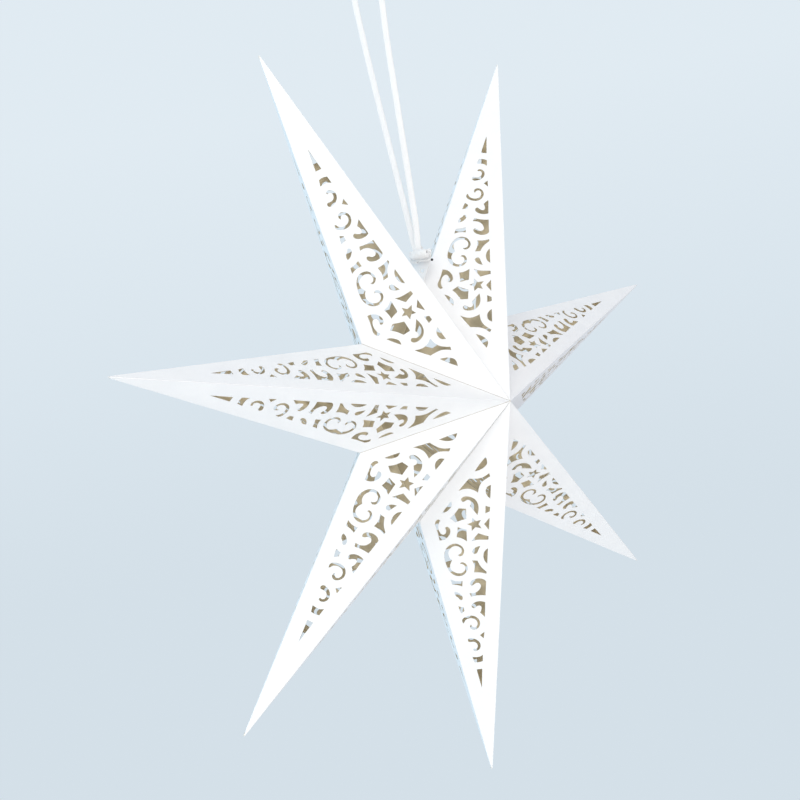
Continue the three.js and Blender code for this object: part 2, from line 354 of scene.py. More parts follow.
CARD_SLOTS = [
    card_material("card_outer_white", dark=(0.87, 0.868, 0.872), light=(0.91, 0.908, 0.91),
                  see_through=0.06, see_colour=(0.95, 0.9, 0.8),
                  rough=0.58, bump=0.5, speck=0.035),
    # the inside face's glow is painted light: emission standing in for light reaching the inside
    # of the star
    card_material("card_inner_kraft", dark=(0.60, 0.54, 0.42), light=(0.78, 0.72, 0.58),
                  see_through=0.10, see_colour=(0.75, 0.68, 0.52),
                  rough=0.8, bump=0.55, speck=0.06,
                  glow=0.14, glow_colour=(0.62, 0.54, 0.39)),
    card_material("card_cut_edge", dark=(0.46, 0.42, 0.34), light=(0.56, 0.52, 0.44),
                  see_through=0.0, see_colour=(0.8, 0.75, 0.6),
                  rough=0.85, bump=0.3, speck=0.0),
]
# glow=0.06 paints a little light onto the yarn and the core as emission
CORD_SLOTS = [
    cord_material("cord_yarn_white", dark=(0.88, 0.885, 0.89), light=(0.97, 0.97, 0.965),
                  glow=0.06),
    # the core is mid grey: painted shade for the gaps between the white yarns
    cord_material("cord_core_painted_shade", dark=(0.40, 0.40, 0.43), light=(0.56, 0.56, 0.58),
                  glow=0.06),
]
cord_tip = cord_material("cord_tip_sealed", dark=(0.012, 0.011, 0.012),
                         light=(0.05, 0.045, 0.045))


# ------------------------------------------------------------------ mesh assembly
class Build:
    """Collects closed shells into one mesh."""

    def __init__(self):
        self.verts, self.faces, self.slots, self.uvs = [], [], [], []
        self.count = 0

    def add(self, verts, faces, slots, uvs):
        self.verts.append(np.asarray(verts, float))
        self.uvs.append(np.asarray(uvs, float))
        self.faces += [tuple(int(i) + self.count for i in face) for face in faces]
        self.slots += list(slots)
        self.count += len(verts)

    def make(self, name, materials, uv_name, sharp):
        """The object; edges that turn more than sharp degrees shade as creases."""
        mesh = bpy.data.meshes.new(name)
        verts = (np.concatenate(self.verts) + STAR_CENTRE) * 1e-3
        mesh.from_pydata([tuple(p) for p in verts], [], self.faces)
        for material in materials:
            mesh.materials.append(material)
        mesh.polygons.foreach_set("material_index", np.array(self.slots, np.int32))
        layer = mesh.uv_layers.new(name=uv_name)
        corners = np.zeros(len(mesh.loops), np.int32)
        mesh.loops.foreach_get("vertex_index", corners)
        uv = np.concatenate(self.uvs)[corners]
        layer.data.foreach_set("uv", uv.astype(np.float32).ravel())
        mesh.polygons.foreach_set("use_smooth", np.ones(len(mesh.polygons), bool))
        mesh.validate()
        mesh.update()
        mesh.set_sharp_from_angle(angle=math.radians(sharp))
        thing = bpy.data.objects.new(name, mesh)
        bpy.context.scene.collection.objects.link(thing)
        return thing


def finish_card(build, name, body, node):
    thing = build.make(name, CARD_SLOTS, "card_mm", sharp=21.0)
    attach(thing, body)
    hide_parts(node)


def finish_cord(build, name, node, materials=CORD_SLOTS):
    thing = build.make(name, materials, "yarn_mm", sharp=70.0)
    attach(thing, "cord")
    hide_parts(node)


def flipped(faces):
    return [tuple(reversed(face)) for face in faces]


def outward(verts, faces):
    """The faces of a closed shell, turned to face out by the sign of its volume."""
    total = 0.0
    v = np.asarray(verts)
    for face in faces:
        for i in range(1, len(face) - 1):
            total += np.dot(v[face[0]], np.cross(v[face[i]], v[face[i + 1]]))
    return flipped(faces) if total < 0 else faces


def card_sheet(stacks, grid, cap, cap_slots, rim_slots):
    """A sheet with shaped edges, in flat coordinates.

    stacks has one list per loop, outline first, of (points, height) rings from top to bottom.
    cap is the triangulation of the loops and grid, cap_slots the slots of the top and bottom.
    rim_slots(is_outline, top height, count) gives the slots of one band of rim faces.
    Returns flat points, heights, faces and slots."""
    points, heights, total = [], [], 0

    def put(ring, height):
        nonlocal total
        points.append(ring)
        heights.append(np.full(len(ring), height))
        total += len(ring)
        return np.arange(total - len(ring), total)

    top = [put(*stack[0]) for stack in stacks]
    top_grid = put(grid, stacks[0][0][1])
    low = [put(*stack[-1]) for stack in stacks]
    low_grid = put(grid, stacks[0][-1][1])
    rings = [[first] + [put(*ring) for ring in stack[1:-1]] + [last]
             for first, stack, last in zip(top, stacks, low)]

    faces = [tuple(t) for t in np.concatenate(top + [top_grid])[cap]]
    faces += [tuple(t[::-1]) for t in np.concatenate(low + [low_grid])[cap]]
    slots = [cap_slots[0]] * len(cap) + [cap_slots[1]] * len(cap)
    for number, (stack, ids) in enumerate(zip(stacks, rings)):
        for (_, height), a, b in zip(stack, ids[:-1], ids[1:]):
            a_next, b_next = np.roll(a, -1), np.roll(b, -1)
            order = [a, b, b_next, a_next] if number == 0 else [a_next, b_next, b, a]
            faces += [tuple(q) for q in np.stack(order, 1)]
            slots += rim_slots(number == 0, height, len(a))
    return np.concatenate(points), np.concatenate(heights), faces, slots


# ------------------------------------------------------------------ the panels
# One panel is a triangle: apex at the origin, ridge to the tip along x, valley towards y.
# Its sides are, in order, the ridge, the side fold (tip to valley) and the seam (valley to apex).
# Cut-outs of one panel: x along the ridge, y towards the valley, 1 marks a sharp corner.
CUTS = [
    [(44.5, 16.2, 1), (49.8, 15.0, 0), (53.8, 18.2, 0), (55.6, 21.5, 0), (56.5, 24.0, 1),
     (50.2, 20.3, 0)],
    [(57.3, 13.0, 1), (59.8, 12.2, 1), (61.8, 15, 0), (64.5, 18, 0), (68, 19.9, 0),
     (73.2, 20.8, 1), (71.4, 24.5, 0), (70.6, 28, 0), (71.2, 32, 0), (72.8, 35.8, 1),
     (67, 31.5, 0), (62.6, 28.2, 1), (62.4, 24, 0), (61.6, 19.5, 0)],
    [(66.6, 11.3, 1), (77.4, 11.3, 1), (75.5, 13.6, 0), (72.2, 15, 0), (68.6, 14.3, 0)],
    [(84.4, 11.2, 1), (87.8, 11.2, 1), (89.6, 14.6, 1), (83.6, 14.6, 1)],
    [(93, 11.2, 1), (102.9, 11.2, 1), (98.4, 15.1, 1)],
    [(91.4, 20.6, 1), (88, 20, 0), (84.5, 20, 0), (81, 21.2, 0), (78.3, 23.8, 0), (77, 27.5, 0),
     (77.2, 31, 0), (78.3, 33, 0), (80, 33.6, 0), (81.4, 32.2, 0), (80.7, 30.4, 0),
     (79.6, 28.6, 0), (79.9, 26.8, 0), (81.5, 25.7, 0), (84.3, 26.6, 1), (87.5, 23.8, 0)],
    [(98.8, 19.4, 1), (102, 16.9, 1), (101.3, 21.6, 1), (104.6, 24.5, 1), (100.6, 24.6, 1),
     (99.3, 28.2, 1), (97.8, 24.6, 1), (93.8, 24.4, 1), (96.4, 21.6, 1), (95.3, 17.9, 1)],
    [(108.2, 11.3, 1), (111, 11.4, 1), (111.2, 16, 0), (111.6, 20, 0), (113.1, 24.4, 1),
     (109.5, 21.8, 0), (106.1, 19.3, 1), (107.2, 15.5, 0)],
    [(86.9, 29.5, 1), (95, 29, 1), (96.3, 32.5, 0), (98.4, 37.2, 1), (95.4, 41.6, 1),
     (92, 38.4, 0), (87, 35.3, 1)],
    [(103.8, 28.5, 1), (113.4, 27.8, 1), (111.3, 31.6, 0), (110.4, 36, 1), (106.4, 35.4, 0),
     (102.3, 35.4, 1), (103.2, 31.8, 0)],
    [(81.8, 41.2, 1), (84.8, 40.6, 0), (88.5, 42.7, 0), (90.8, 45.5, 0), (91.7, 47.8, 1),
     (87, 44.9, 0)],
    [(102.6, 43.2, 0), (104.2, 41.3, 0), (107, 41, 0), (110.5, 42.5, 0), (113, 45.2, 0),
     (114, 49, 1), (108.5, 50.4, 0), (104.5, 51.8, 0), (100.5, 53, 0), (98.2, 52.2, 0),
     (97, 50.8, 0), (97.8, 49, 1), (99.3, 49.9, 0), (102, 50.4, 0), (106, 49.8, 0),
     (108.8, 47.8, 0), (109.2, 46, 0), (107.5, 44.3, 0), (105.2, 44.3, 0), (103.2, 44.9, 0)],
    [(118, 11.4, 1), (130.8, 11.4, 1), (128.5, 13.4, 0), (124.6, 14.6, 0), (120.6, 13.8, 0)],
    [(116.5, 17.4, 1), (119.5, 18.6, 0), (122.9, 20.2, 0), (123.3, 21.6, 0), (121.6, 23.3, 0),
     (119.2, 22.3, 0), (117.4, 20, 0)],
    [(128.8, 19, 1), (133.5, 16.2, 0), (137.5, 11.6, 1), (139.2, 11.7, 1), (138.4, 16, 0),
     (138.6, 21.2, 1), (133, 21.3, 0), (128.8, 23.1, 1)],
    [(125, 34.6, 1), (126, 33, 0), (125.4, 31.2, 0), (123.6, 30, 0), (121, 29.7, 0),
     (118.6, 30.8, 0), (116.6, 33.5, 0), (115.9, 36.6, 0), (116.8, 39.8, 0), (119, 42.6, 0),
     (122.2, 44.3, 0), (126.5, 44.9, 0), (131, 44, 0), (135, 42.6, 0), (139.2, 40.2, 0),
     (141.8, 37, 0), (142.6, 33, 0), (141.3, 29.4, 0), (138.6, 27.3, 0), (135.6, 26.4, 0),
     (132.8, 27.3, 0), (131.2, 29.4, 0), (131, 31.3, 0), (132.4, 32.5, 1), (132.4, 30.6, 0),
     (133.4, 29, 0), (135.6, 28.2, 0), (138.2, 28.9, 0), (140, 31.2, 0), (140.3, 34, 0),
     (139.2, 37.2, 0), (137, 39.6, 0), (134, 40.1, 0), (130, 38.8, 1), (127.5, 41, 0),
     (124.2, 41.9, 0), (121, 41, 0), (118.6, 38.8, 0), (117.8, 36, 0), (118.6, 33.2, 0),
     (120.4, 31.8, 0), (122.4, 31.5, 0), (124.2, 32.6, 0)],
    [(146.5, 30, 1), (151, 30, 1), (150.2, 33.8, 0), (150, 37.8, 1), (145.9, 39.2, 1),
     (147, 35, 0), (146.9, 32.5, 0)],
    [(145.6, 11.6, 1), (157.2, 11.6, 1), (157.3, 15, 0), (157.8, 18.5, 0), (159.1, 22.8, 1),
     (156.3, 24.2, 1), (156, 21, 0), (154.4, 18, 0), (152, 16.2, 0), (149, 15.6, 0),
     (147.3, 17, 0), (147.4, 19.4, 0), (149, 21.2, 0), (149.8, 22.8, 0), (148.6, 23.9, 0),
     (146.4, 23.4, 0), (144.4, 20.8, 0), (143.4, 17, 0), (144, 13.6, 0)],
    [(163, 11.6, 1), (175.4, 11.3, 1), (172, 15.2, 1), (169, 14.3, 0), (166.8, 14.6, 0),
     (166.1, 16.2, 0), (167.2, 18.4, 0), (168.7, 20.2, 0), (168, 21.8, 0), (166.4, 22.1, 0),
     (164.4, 20.6, 0), (162.8, 17.5, 0), (162.4, 14, 0)],
    [(182.2, 28, 1), (180, 29, 0), (178.4, 28.6, 0), (176.4, 26, 0), (175.2, 22.6, 0),
     (175.4, 19.4, 0), (177.2, 16.6, 0), (180.2, 15, 0), (183.2, 15.2, 0), (185.8, 17, 0),
     (186.9, 19.8, 0), (186.1, 21.9, 0), (184.2, 22.6, 0), (182.6, 21.9, 1), (184.2, 21, 0),
     (184.9, 19, 0), (183.8, 17.4, 0), (181.6, 16.8, 0), (179.2, 17.6, 0), (177.6, 19.8, 0),
     (177.3, 22.4, 0), (178.2, 25, 0), (179.8, 26.8, 0), (181, 27.2, 0)],
    [(188, 11.2, 1), (193.6, 11.5, 1), (191.2, 14.6, 1)],
    [(194.6, 23, 0), (195.8, 23.9, 0), (197.6, 23.2, 0), (197.4, 21, 0), (197.2, 19, 0),
     (198.2, 17, 0), (200.4, 15.9, 0), (202.2, 16.2, 0), (203.2, 17.6, 0), (203, 19, 1),
     (204.2, 19.2, 0), (204.9, 17.6, 0), (204.2, 15.6, 0), (202.2, 14, 0), (199.8, 13.7, 0),
     (197.2, 14.8, 0), (195.2, 17.2, 0), (194.4, 20, 0)],
    [(156, 35.8, 1), (156.2, 34, 0), (157.8, 31.2, 0), (160, 29.4, 0), (162.2, 29.6, 0),
     (162.5, 31, 0), (160.8, 32.6, 0), (159.6, 34.6, 0), (157.6, 35.6, 0)],
    [(168.5, 28.3, 1), (171.6, 27.6, 1), (173.7, 30, 1), (170.4, 31.6, 0), (168, 32.4, 1),
     (168.4, 30, 0)],
    [(207.7, 11.6, 1), (213.2, 11.5, 1), (214.4, 14.5, 0), (214.6, 17.8, 1), (210.4, 19.8, 1),
     (210.2, 16.5, 0), (209.4, 13.6, 0)],
    [(220, 11.6, 1), (236.5, 11.2, 1), (220.8, 16.1, 1)],
]

APEXES = {"front": np.array([0, -APEX, 0.0]), "back": np.array([0, APEX, 0.0])}
SIDE_SEGMENTS = (120, 88, 47)                    # ridge, side fold, seam
RING_HEIGHTS = [CARD, 0.36, 0.28, 0.16, 0.05, 0.0]     # rings of the outline's edge
CREASE_CLEAR = 0.42                              # folding edges stop this far from the fold line
# the cut-outs' edge: (height, how much wider the opening is there)
CUT_EDGE_RINGS = [(CARD, 0.05), (0.36, 0.0), (0.05, 0.0), (0.0, 0.04)]


def panel_axes(apex, tip, valley):
    """Unit axes along the ridge, across towards the valley, and out of the star."""
    along = unit(tip - apex)
    to_valley = valley - apex
    across = unit(to_valley - float(np.dot(to_valley, along)) * along)
    out = np.cross(along, across)
    inside_point = 0.35 * tip
    if np.dot(out, (apex + tip + valley) / 3 - inside_point) < 0:
        out = -out
    return along, across, out


def flat_corners():
    """Apex, tip and valley in a panel's flat coordinates."""
    apex = APEXES["front"]
    tip = radial(FIRST_ANGLE, TIP_R)
    to_valley = radial(FIRST_ANGLE + PITCH / 2, VALLEY_R) - apex
    along = unit(tip - apex)
    valley_x = float(np.dot(to_valley, along))
    valley_y = float(np.linalg.norm(to_valley - valley_x * along))
    return [(0.0, 0.0), (float(np.linalg.norm(tip - apex)), 0.0), (valley_x, valley_y)]


# Edge profiles: for each ring height, the clearance at the side's start and at its end.
def fold_profile(extra_at_start=0.0):
    room = [math.sqrt(max(CREASE_CLEAR ** 2 - h * h, 0)) for h in RING_HEIGHTS]
    return [(d + extra_at_start, d) for d in room]


def mitre_profile(gap, slope=0.83, eased=0.03):
    """A bevelled edge, eased at its top and bottom rings."""
    room = [slope * h + gap for h in RING_HEIGHTS]
    room[0] += eased
    room[-1] += eased
    return [(d, d) for d in room]


FRONT_PROFILES = (fold_profile(), fold_profile(), mitre_profile(gap=0.16))
PROFILES = {
    ("front", "left"): FRONT_PROFILES,
    ("front", "right"): FRONT_PROFILES,
    ("back", "left"): (fold_profile(), fold_profile(), mitre_profile(gap=0.2)),
    # the back ridge's free edge has more room at the apex, where the two sides ride past
    # each other as the star folds
    ("back", "right"): (fold_profile(extra_at_start=0.34), fold_profile(),
                        mitre_profile(gap=0.2)),
}
CORNERS = flat_corners()


def outline_ring(profiles, ring):
    corners = inset_triangle(CORNERS, [profile[ring] for profile in profiles])
    points = []
    for i, count in enumerate(SIDE_SEGMENTS):
        start, end = corners[i], corners[(i + 1) % 3]
        points += [start + (end - start) * t / count for t in range(count)]
    return np.array(points)


def cut_stack(points):
    """The rings of one cut-out's edge."""
    loop = smooth_loop(points, step=0.7, straight=2.5)
    normals = loop_normals(loop)
    return [(loop + normals * widen, height) for height, widen in CUT_EDGE_RINGS]


# all panels share the cut-outs, the inner grid and the triangulation of the front outline
CUT_STACKS = [cut_stack(points) for points in CUTS]
CAP_LOOPS = [outline_ring(FRONT_PROFILES, 0)] + [stack[0][0] for stack in CUT_STACKS]
PANEL_GRID = grid_points(((0, 0), (CORNERS[1][0], CORNERS[2][1])), 4.6, CAP_LOOPS, 1.9)
PANEL_CAP = triangulate(CAP_LOOPS, PANEL_GRID)


def barycentric(p):
    a, b, c = (np.array(q) for q in CORNERS)
    whole = (b[1] - c[1]) * (a[0] - c[0]) + (c[0] - b[0]) * (a[1] - c[1])
    at_a = ((b[1] - c[1]) * (p[:, 0] - c[0]) + (c[0] - b[0]) * (p[:, 1] - c[1])) / whole
    at_b = ((c[1] - a[1]) * (p[:, 0] - c[0]) + (a[0] - c[0]) * (p[:, 1] - c[1])) / whole
    return at_a, at_b, 1 - at_a - at_b


def bow(p, amount, phase):
    """How far the card stands off its plane: a slight crown with a slow ripple, none at folds."""
    at_a, at_b, at_c = barycentric(p)
    crown = np.clip(27 * at_a * at_b * at_c, 0, None)
    ripple = (0.35 * np.sin(p[:, 0] * 0.045 + phase)
              + 0.2 * np.sin(p[:, 1] * 0.13 + p[:, 0] * 0.02 + 2.1 * phase))
    return amount * crown * (1 + ripple)


def add_panel(build, apex, tip, valley, face, side, bow_amount, bow_phase, uv_shift):
    along, across, out = panel_axes(apex, tip, valley)
    profiles = PROFILES[face, side]

    def rim_slots(is_outline, height, count):
        """Folded sides show the sheet's own faces, the seam and the cut-outs its cut edge."""
        if not is_outline:
            return [CUT_EDGE] * count
        ridge = INNER if face == "back" and height < 0.3 else OUTER
        slots = []
        for slot, segments in zip((ridge, OUTER, CUT_EDGE), SIDE_SEGMENTS):
            slots += [slot] * segments
        return slots

    outline = [(outline_ring(profiles, j), h) for j, h in enumerate(RING_HEIGHTS)]
    flat, height, faces, slots = card_sheet([outline] + CUT_STACKS, PANEL_GRID, PANEL_CAP,
                                            (OUTER, INNER), rim_slots)
    lift = height + bow(flat, bow_amount, bow_phase)
    verts = apex + flat[:, :1] * along + flat[:, 1:] * across + lift[:, None] * out
    if np.dot(np.cross(along, across), out) < 0:
        faces = flipped(faces)
    build.add(verts, faces, slots, flat + np.array(uv_shift))


def add_crease(build, start, end, out, start_gap, end_gap, tapers, uv_y, level_with=None):
    """The folded spine of card along a fold line: a thin rounded bead, tapered at both ends.

    With level_with, a panel's outward direction, it is cut flat at that panel's inner face."""
    along = unit(end - start)
    length = float(np.linalg.norm(end - start))
    up = unit(out - np.dot(out, along) * along)
    across = np.cross(along, up)
    sides = 18
    first, last = tapers
    stop = length - end_gap
    # stations: distance along the fold, share of the full radius
    stations = [(start_gap, 0.2), (start_gap + first * 0.5, 0.62), (start_gap + first, 1.0)]
    stations += [(s, 1.0) for s in np.linspace(start_gap + first, stop - last, 14)[1:-1]]
    stations += [(stop - last, 1.0), (stop - last * 0.35, 0.45), (stop, 0.15)]
    verts, uvs = [], []
    for distance, share in stations:
        for i in range(sides):
            angle = 2 * math.pi * i / sides
            step = (up * math.cos(angle) + across * math.sin(angle)) * CARD * share
            if level_with is not None:
                # a hair below the inner face, deepening from the tip
                floor = -min(0.04, 0.018 * distance) * (1 + math.cos(angle) * 0.05)
                step = step + level_with * max(0.0, floor - float(np.dot(step, level_with)))
            verts.append(start + along * distance + step)
            girth = angle if angle < math.pi else 2 * math.pi - angle
            uvs.append((distance, uv_y + CARD * girth))
    faces, slots = [], []
    for k in range(len(stations) - 1):
        here, there = k * sides, (k + 1) * sides
        for i in range(sides):
            j = (i + 1) % sides
            faces.append((here + i, here + j, there + j, there + i))
            facing_out = math.cos(2 * math.pi * (i + 0.5) / sides) > 0.05
            slots.append(OUTER if facing_out else INNER)
    faces.append(tuple(range(sides))[::-1])
    faces.append(tuple((len(stations) - 1) * sides + i for i in range(sides)))
    slots += [OUTER, OUTER]
    build.add(verts, outward(verts, faces), slots, uvs)


def make_point(number):
    """The four panels of one point; left is anticlockwise as seen from the front."""
    angle = FIRST_ANGLE - PITCH * (number - 1)
    tip = radial(angle, TIP_R)
    valleys = {"left": radial(angle + PITCH / 2, VALLEY_R),
               "right": radial(angle - PITCH / 2, VALLEY_R)}
    outs = {(face, side): panel_axes(apex, tip, valley)[2]
            for face, apex in APEXES.items() for side, valley in valleys.items()}
    for face_number, (face, apex) in enumerate(APEXES.items()):
        for side_number, (side, valley) in enumerate(valleys.items()):
            seed = number * 4 + face_number * 2 + side_number    # makes each panel differ
            uv_y = seed * 17.9
            build = Build()
            add_panel(build, apex, tip, valley, face, side,
                      bow_amount=0.30 + 0.22 * math.sin(seed * 2.399),
                      bow_phase=seed * 1.7, uv_shift=(seed * 41.3, uv_y))
            if side == "left":                   # ridge crease
                add_crease(build, apex, tip, outs[face, "left"] + outs[face, "right"],
                           start_gap=0.35, end_gap=0.45, tapers=(0.75, 2.0), uv_y=uv_y)
            if face == "front":                  # side fold, shared with the back panel
                add_crease(build, tip, valley, outs["front", side] + outs["back", side],
                           start_gap=1.7 if side == "left" else 2.2, end_gap=0.8,
                           tapers=(2.2, 2.6), uv_y=uv_y + 40,
                           level_with=outs["front", side])
            place = (number, face, side)
            finish_card(build, "p%d_%s_%s_card" % place, "p%d_%s_%s" % place,
                        "point_%d_%s_%s" % place)


for number in range(1, POINTS + 1):
    make_point(number)

# ------------------------------------------------------------------ closing tabs
# Two flat tabs lie face to face across x = 0, over the valley at the top of the star.
TAB_TOP = 122.3
TAB_GAP = 0.05                                   # from x = 0 to each tab
# outline: y, z, 1 marks a sharp corner
TAB = [(-6.5, 86.8, 1), (-1, 93.9, 1), (0, 96.2, 1), (8, 105.2, 1), (8.4, 112, 0),
       (7.2, 119, 0), (6.3, 121.5, 0), (4.6, TAB_TOP, 1), (-13.6, TAB_TOP, 1),
       (-15.1, 120.9, 1), (-12.2, 111.2, 1), (-3.4, 98.6, 1), (-7.4, 88.4, 1)]
SLOT_AFTER = 8                                   # the slot opens after this many TAB points
STAR_Y, STAR_Z = -3.0, 106.2                     # punched star
STAR_POINTS, STAR_OUTER, STAR_INNER, STAR_FLATTEN = 7, 3.15, 1.75, 0.74
EYE_Y, EYE_Z, EYE_R = -4.0, 116.8, 2.0           # eyelet; the slot is as wide
TAB_EDGE_RINGS = [(CARD, 0.04), (CARD - 0.04, 0.0), (0.04, 0.0), (0.0, 0.04)]  # height, set-back


def punched_star():
    points = []
    for i in range(2 * STAR_POINTS):
        radius = STAR_INNER if i % 2 else STAR_OUTER
        angle = math.pi * i / STAR_POINTS + math.pi / 2
        points.append((STAR_Y + radius * math.cos(angle),
                       STAR_Z + STAR_FLATTEN * radius * math.sin(angle), 1))
    return points


def eyelet():
    angles = [2 * math.pi * i / 36 for i in range(36)]
    return [(EYE_Y + EYE_R * math.cos(a), EYE_Z + EYE_R * math.sin(a), 0) for a in angles]


def slotted_tab():
    """The tab's outline with a round-bottomed slot running down from its top edge."""
    slot = [(EYE_Y + EYE_R, TAB_TOP, 1), (EYE_Y + EYE_R, EYE_Z, 1)]
    slot += [(EYE_Y + EYE_R * math.cos(a), EYE_Z + EYE_R * math.sin(a), 0)
             for a in np.linspace(0, -math.pi, 13)[1:-1]]
    slot += [(EYE_Y - EYE_R, EYE_Z, 1), (EYE_Y - EYE_R, TAB_TOP, 1)]
    return TAB[:SLOT_AFTER] + slot + TAB[SLOT_AFTER:]


def make_tab(name, outline, holes, low_x, cap_slots, body, node):
    """A tab from low_x to low_x + CARD; cap_slots are for its +x and -x faces."""
    edge = smooth_loop(outline, step=0.6, straight=1.6)
    edge_normals = loop_normals(edge)
    stacks = [[(edge - edge_normals * back, height) for height, back in TAB_EDGE_RINGS]]
    for hole in holes:
        loop = smooth_loop(hole, step=0.35, straight=0.6)
        normals = loop_normals(loop)
        stacks.append([(loop + normals * back, height) for height, back in TAB_EDGE_RINGS])
    cap_loops = [stack[0][0] for stack in stacks]
    grid = grid_points((edge.min(0), edge.max(0)), 2.6, cap_loops, 0.9)
    cap = triangulate(cap_loops, grid)
    flat, height, faces, slots = card_sheet(stacks, grid, cap, cap_slots,
                                            lambda is_outline, height, count: [OUTER] * count)
    verts = np.stack([low_x + height, flat[:, 0], flat[:, 1]], 1)
    build = Build()
    build.add(verts, outward(verts, faces), slots, flat)
    finish_card(build, name, body, node)


make_tab("closing_tab_right_card", TAB, [punched_star(), eyelet()], TAB_GAP, (OUTER, INNER),
         "p1_front_left", "closing_tab_right")
make_tab("closing_tab_left_card", slotted_tab(), [punched_star()], -TAB_GAP - CARD,
         (INNER, OUTER), "p7_front_right", "closing_tab_left")


# ------------------------------------------------------------------ cord tools
def travelled(points):
    """Distance along a path at each of its points."""
    steps = np.linalg.norm(np.diff(points, axis=0), axis=1)
    return np.concatenate([[0], np.cumsum(steps)])


def spline(points, step):
    """Points along a smooth open curve, evenly spaced."""
    p = np.array(points, float)
    gaps = np.linalg.norm(np.diff(p, axis=0), axis=1)
    t = np.concatenate([[0], np.cumsum(np.sqrt(gaps))])
    before, after = (t[1:-1] - t[:-2])[:, None], (t[2:] - t[1:-1])[:, None]
    slope = np.zeros_like(p)
    slope[1:-1] = ((p[1:-1] - p[:-2]) / before * after
                   + (p[2:] - p[1:-1]) / after * before) / (t[2:] - t[:-2])[:, None]
    slope[0] = (p[1] - p[0]) / (t[1] - t[0]) * 1.5 - slope[1] * 0.5
    slope[-1] = (p[-1] - p[-2]) / (t[-1] - t[-2]) * 1.5 - slope[-2] * 0.5
    dense = []
    for i in range(len(p) - 1):
        dense += [hermite(p[i], p[i + 1], slope[i], slope[i + 1], t[i + 1] - t[i], u)
                  for u in np.linspace(0, 1, 60, endpoint=False)]
    dense.append(p[-1])
    dense = np.array(dense)
    s = travelled(dense)
    count = max(4, int(round(s[-1] / step)))
    even = np.linspace(0, s[-1], count + 1)
    return np.stack([np.interp(even, s, dense[:, i]) for i in range(3)], 1)


def square_to(direction, tangent):
    """Unit direction with its part along the tangent taken out."""
    return unit(direction - np.sum(direction * tangent, 1)[:, None] * tangent)


def path_frame(path, wide):
    """Wide and thin directions along a path. wide is a fixed vector or one per point."""
    tangent = unit(np.gradient(path, axis=0))
    wide = square_to(np.broadcast_to(np.asarray(wide, float), path.shape), tangent)
    return wide, np.cross(tangent, wide)


def tube(build, centre, wide, thin, half_wide, half_thin, sides, slot, length,
         uv_shift=0.0, swell=None):
    """A closed oval tube with pointed ends; swell scales its section at each point."""
    n = len(centre)
    angle = np.linspace(0, 2 * math.pi, sides, endpoint=False)
    cos, sin = np.cos(angle), np.sin(angle)
    scale = np.ones(n) if swell is None else swell
    rings = (centre[:, None, :]
             + (scale * half_wide)[:, None, None] * cos[None, :, None] * wide[:, None, :]
             + (scale * half_thin)[:, None, None] * sin[None, :, None] * thin[:, None, :])
    tangent = unit(np.gradient(centre, axis=0))
    reach = min(half_wide, half_thin)
    ends = np.stack([centre[0] - tangent[0] * reach * scale[0] * 0.7,
                     centre[-1] + tangent[-1] * reach * scale[-1] * 0.7])
    verts = np.concatenate([rings.reshape(-1, 3), ends])
    i = np.arange(n - 1)[:, None] * sides
    j = np.arange(sides)[None, :]
    j_next = (j + 1) % sides
    quads = np.stack([i + j, i + j_next, i + sides + j_next, i + sides + j], -1)
    faces = [tuple(q) for q in quads.reshape(-1, 4)]
    start, end, last_ring = n * sides, n * sides + 1, (n - 1) * sides
    faces += [(start, (k + 1) % sides, k) for k in range(sides)]
    faces += [(end, last_ring + k, last_ring + (k + 1) % sides) for k in range(sides)]
    # the handedness of wide, thin and tangent decides which way round the faces go
    if np.dot(np.cross(wide[n // 2], thin[n // 2]), tangent[n // 2]) < 0:
        faces = flipped(faces)
    girth = np.minimum(angle, 2 * math.pi - angle) * (half_wide + half_thin) / 2 + uv_shift
    uv = np.stack([np.repeat(length, sides), np.tile(girth, n)], 1)
    uv = np.concatenate([uv, [[length[0], uv_shift], [length[-1], uv_shift]]])
    build.add(verts, faces, [slot] * len(faces), uv)


def braid(build, path, wide, half_wide, half_thin, yarn_wide, yarn_thin, count, spacing, lift,
          phase=0.0):
    """2 x count yarns round an oval core: half go one way round, half the other, over and under.

    yarn_wide and yarn_thin are a yarn's half sizes; lift is how far it rises and dips."""
    wide, thin = path_frame(path, wide)
    s = travelled(path)
    # angle round the oval against the share of its girth, so that the yarns are evenly spaced
    theta = np.linspace(0, 2 * math.pi, 721)
    steps = np.hypot(np.diff(half_wide * np.cos(theta)), np.diff(half_thin * np.sin(theta)))
    girth = np.concatenate([[0], np.cumsum(steps)])
    girth /= girth[-1]
    rate = math.pi / (spacing * count)
    for way in (1, -1):
        for i in range(count):
            turn = (way * rate * s / (2 * math.pi) + i / count + phase) % 1.0
            angle = np.interp(turn, girth, theta)
            rise = way * lift * np.cos(rate * s * count)
            cos, sin = np.cos(angle), np.sin(angle)
            centre = (path + wide * ((half_wide + rise) * cos)[:, None]
                      + thin * ((half_thin + rise) * sin)[:, None])
            normal = unit(wide * (cos / half_wide)[:, None] + thin * (sin / half_thin)[:, None])
            tangent = unit(np.gradient(centre, axis=0))
            normal = square_to(normal, tangent)
            tube(build, centre, np.cross(tangent, normal), normal, yarn_wide, yarn_thin,
                 6, YARN, s, uv_shift=i * 7.3 + (40 if way > 0 else 0))
    # the core, grey as painted shade, shows between the yarns
    tube(build, path, wide, thin, half_wide * 0.93, half_thin * 0.8, 12, CORE, s)


# ------------------------------------------------------------------ cord
KNOT_X, KNOT_Y, KNOT_Z = -5.1, -6.9, 118.9       # the knot's middle
STRAND_X = KNOT_X + 0.6                          # where both strands enter the knot
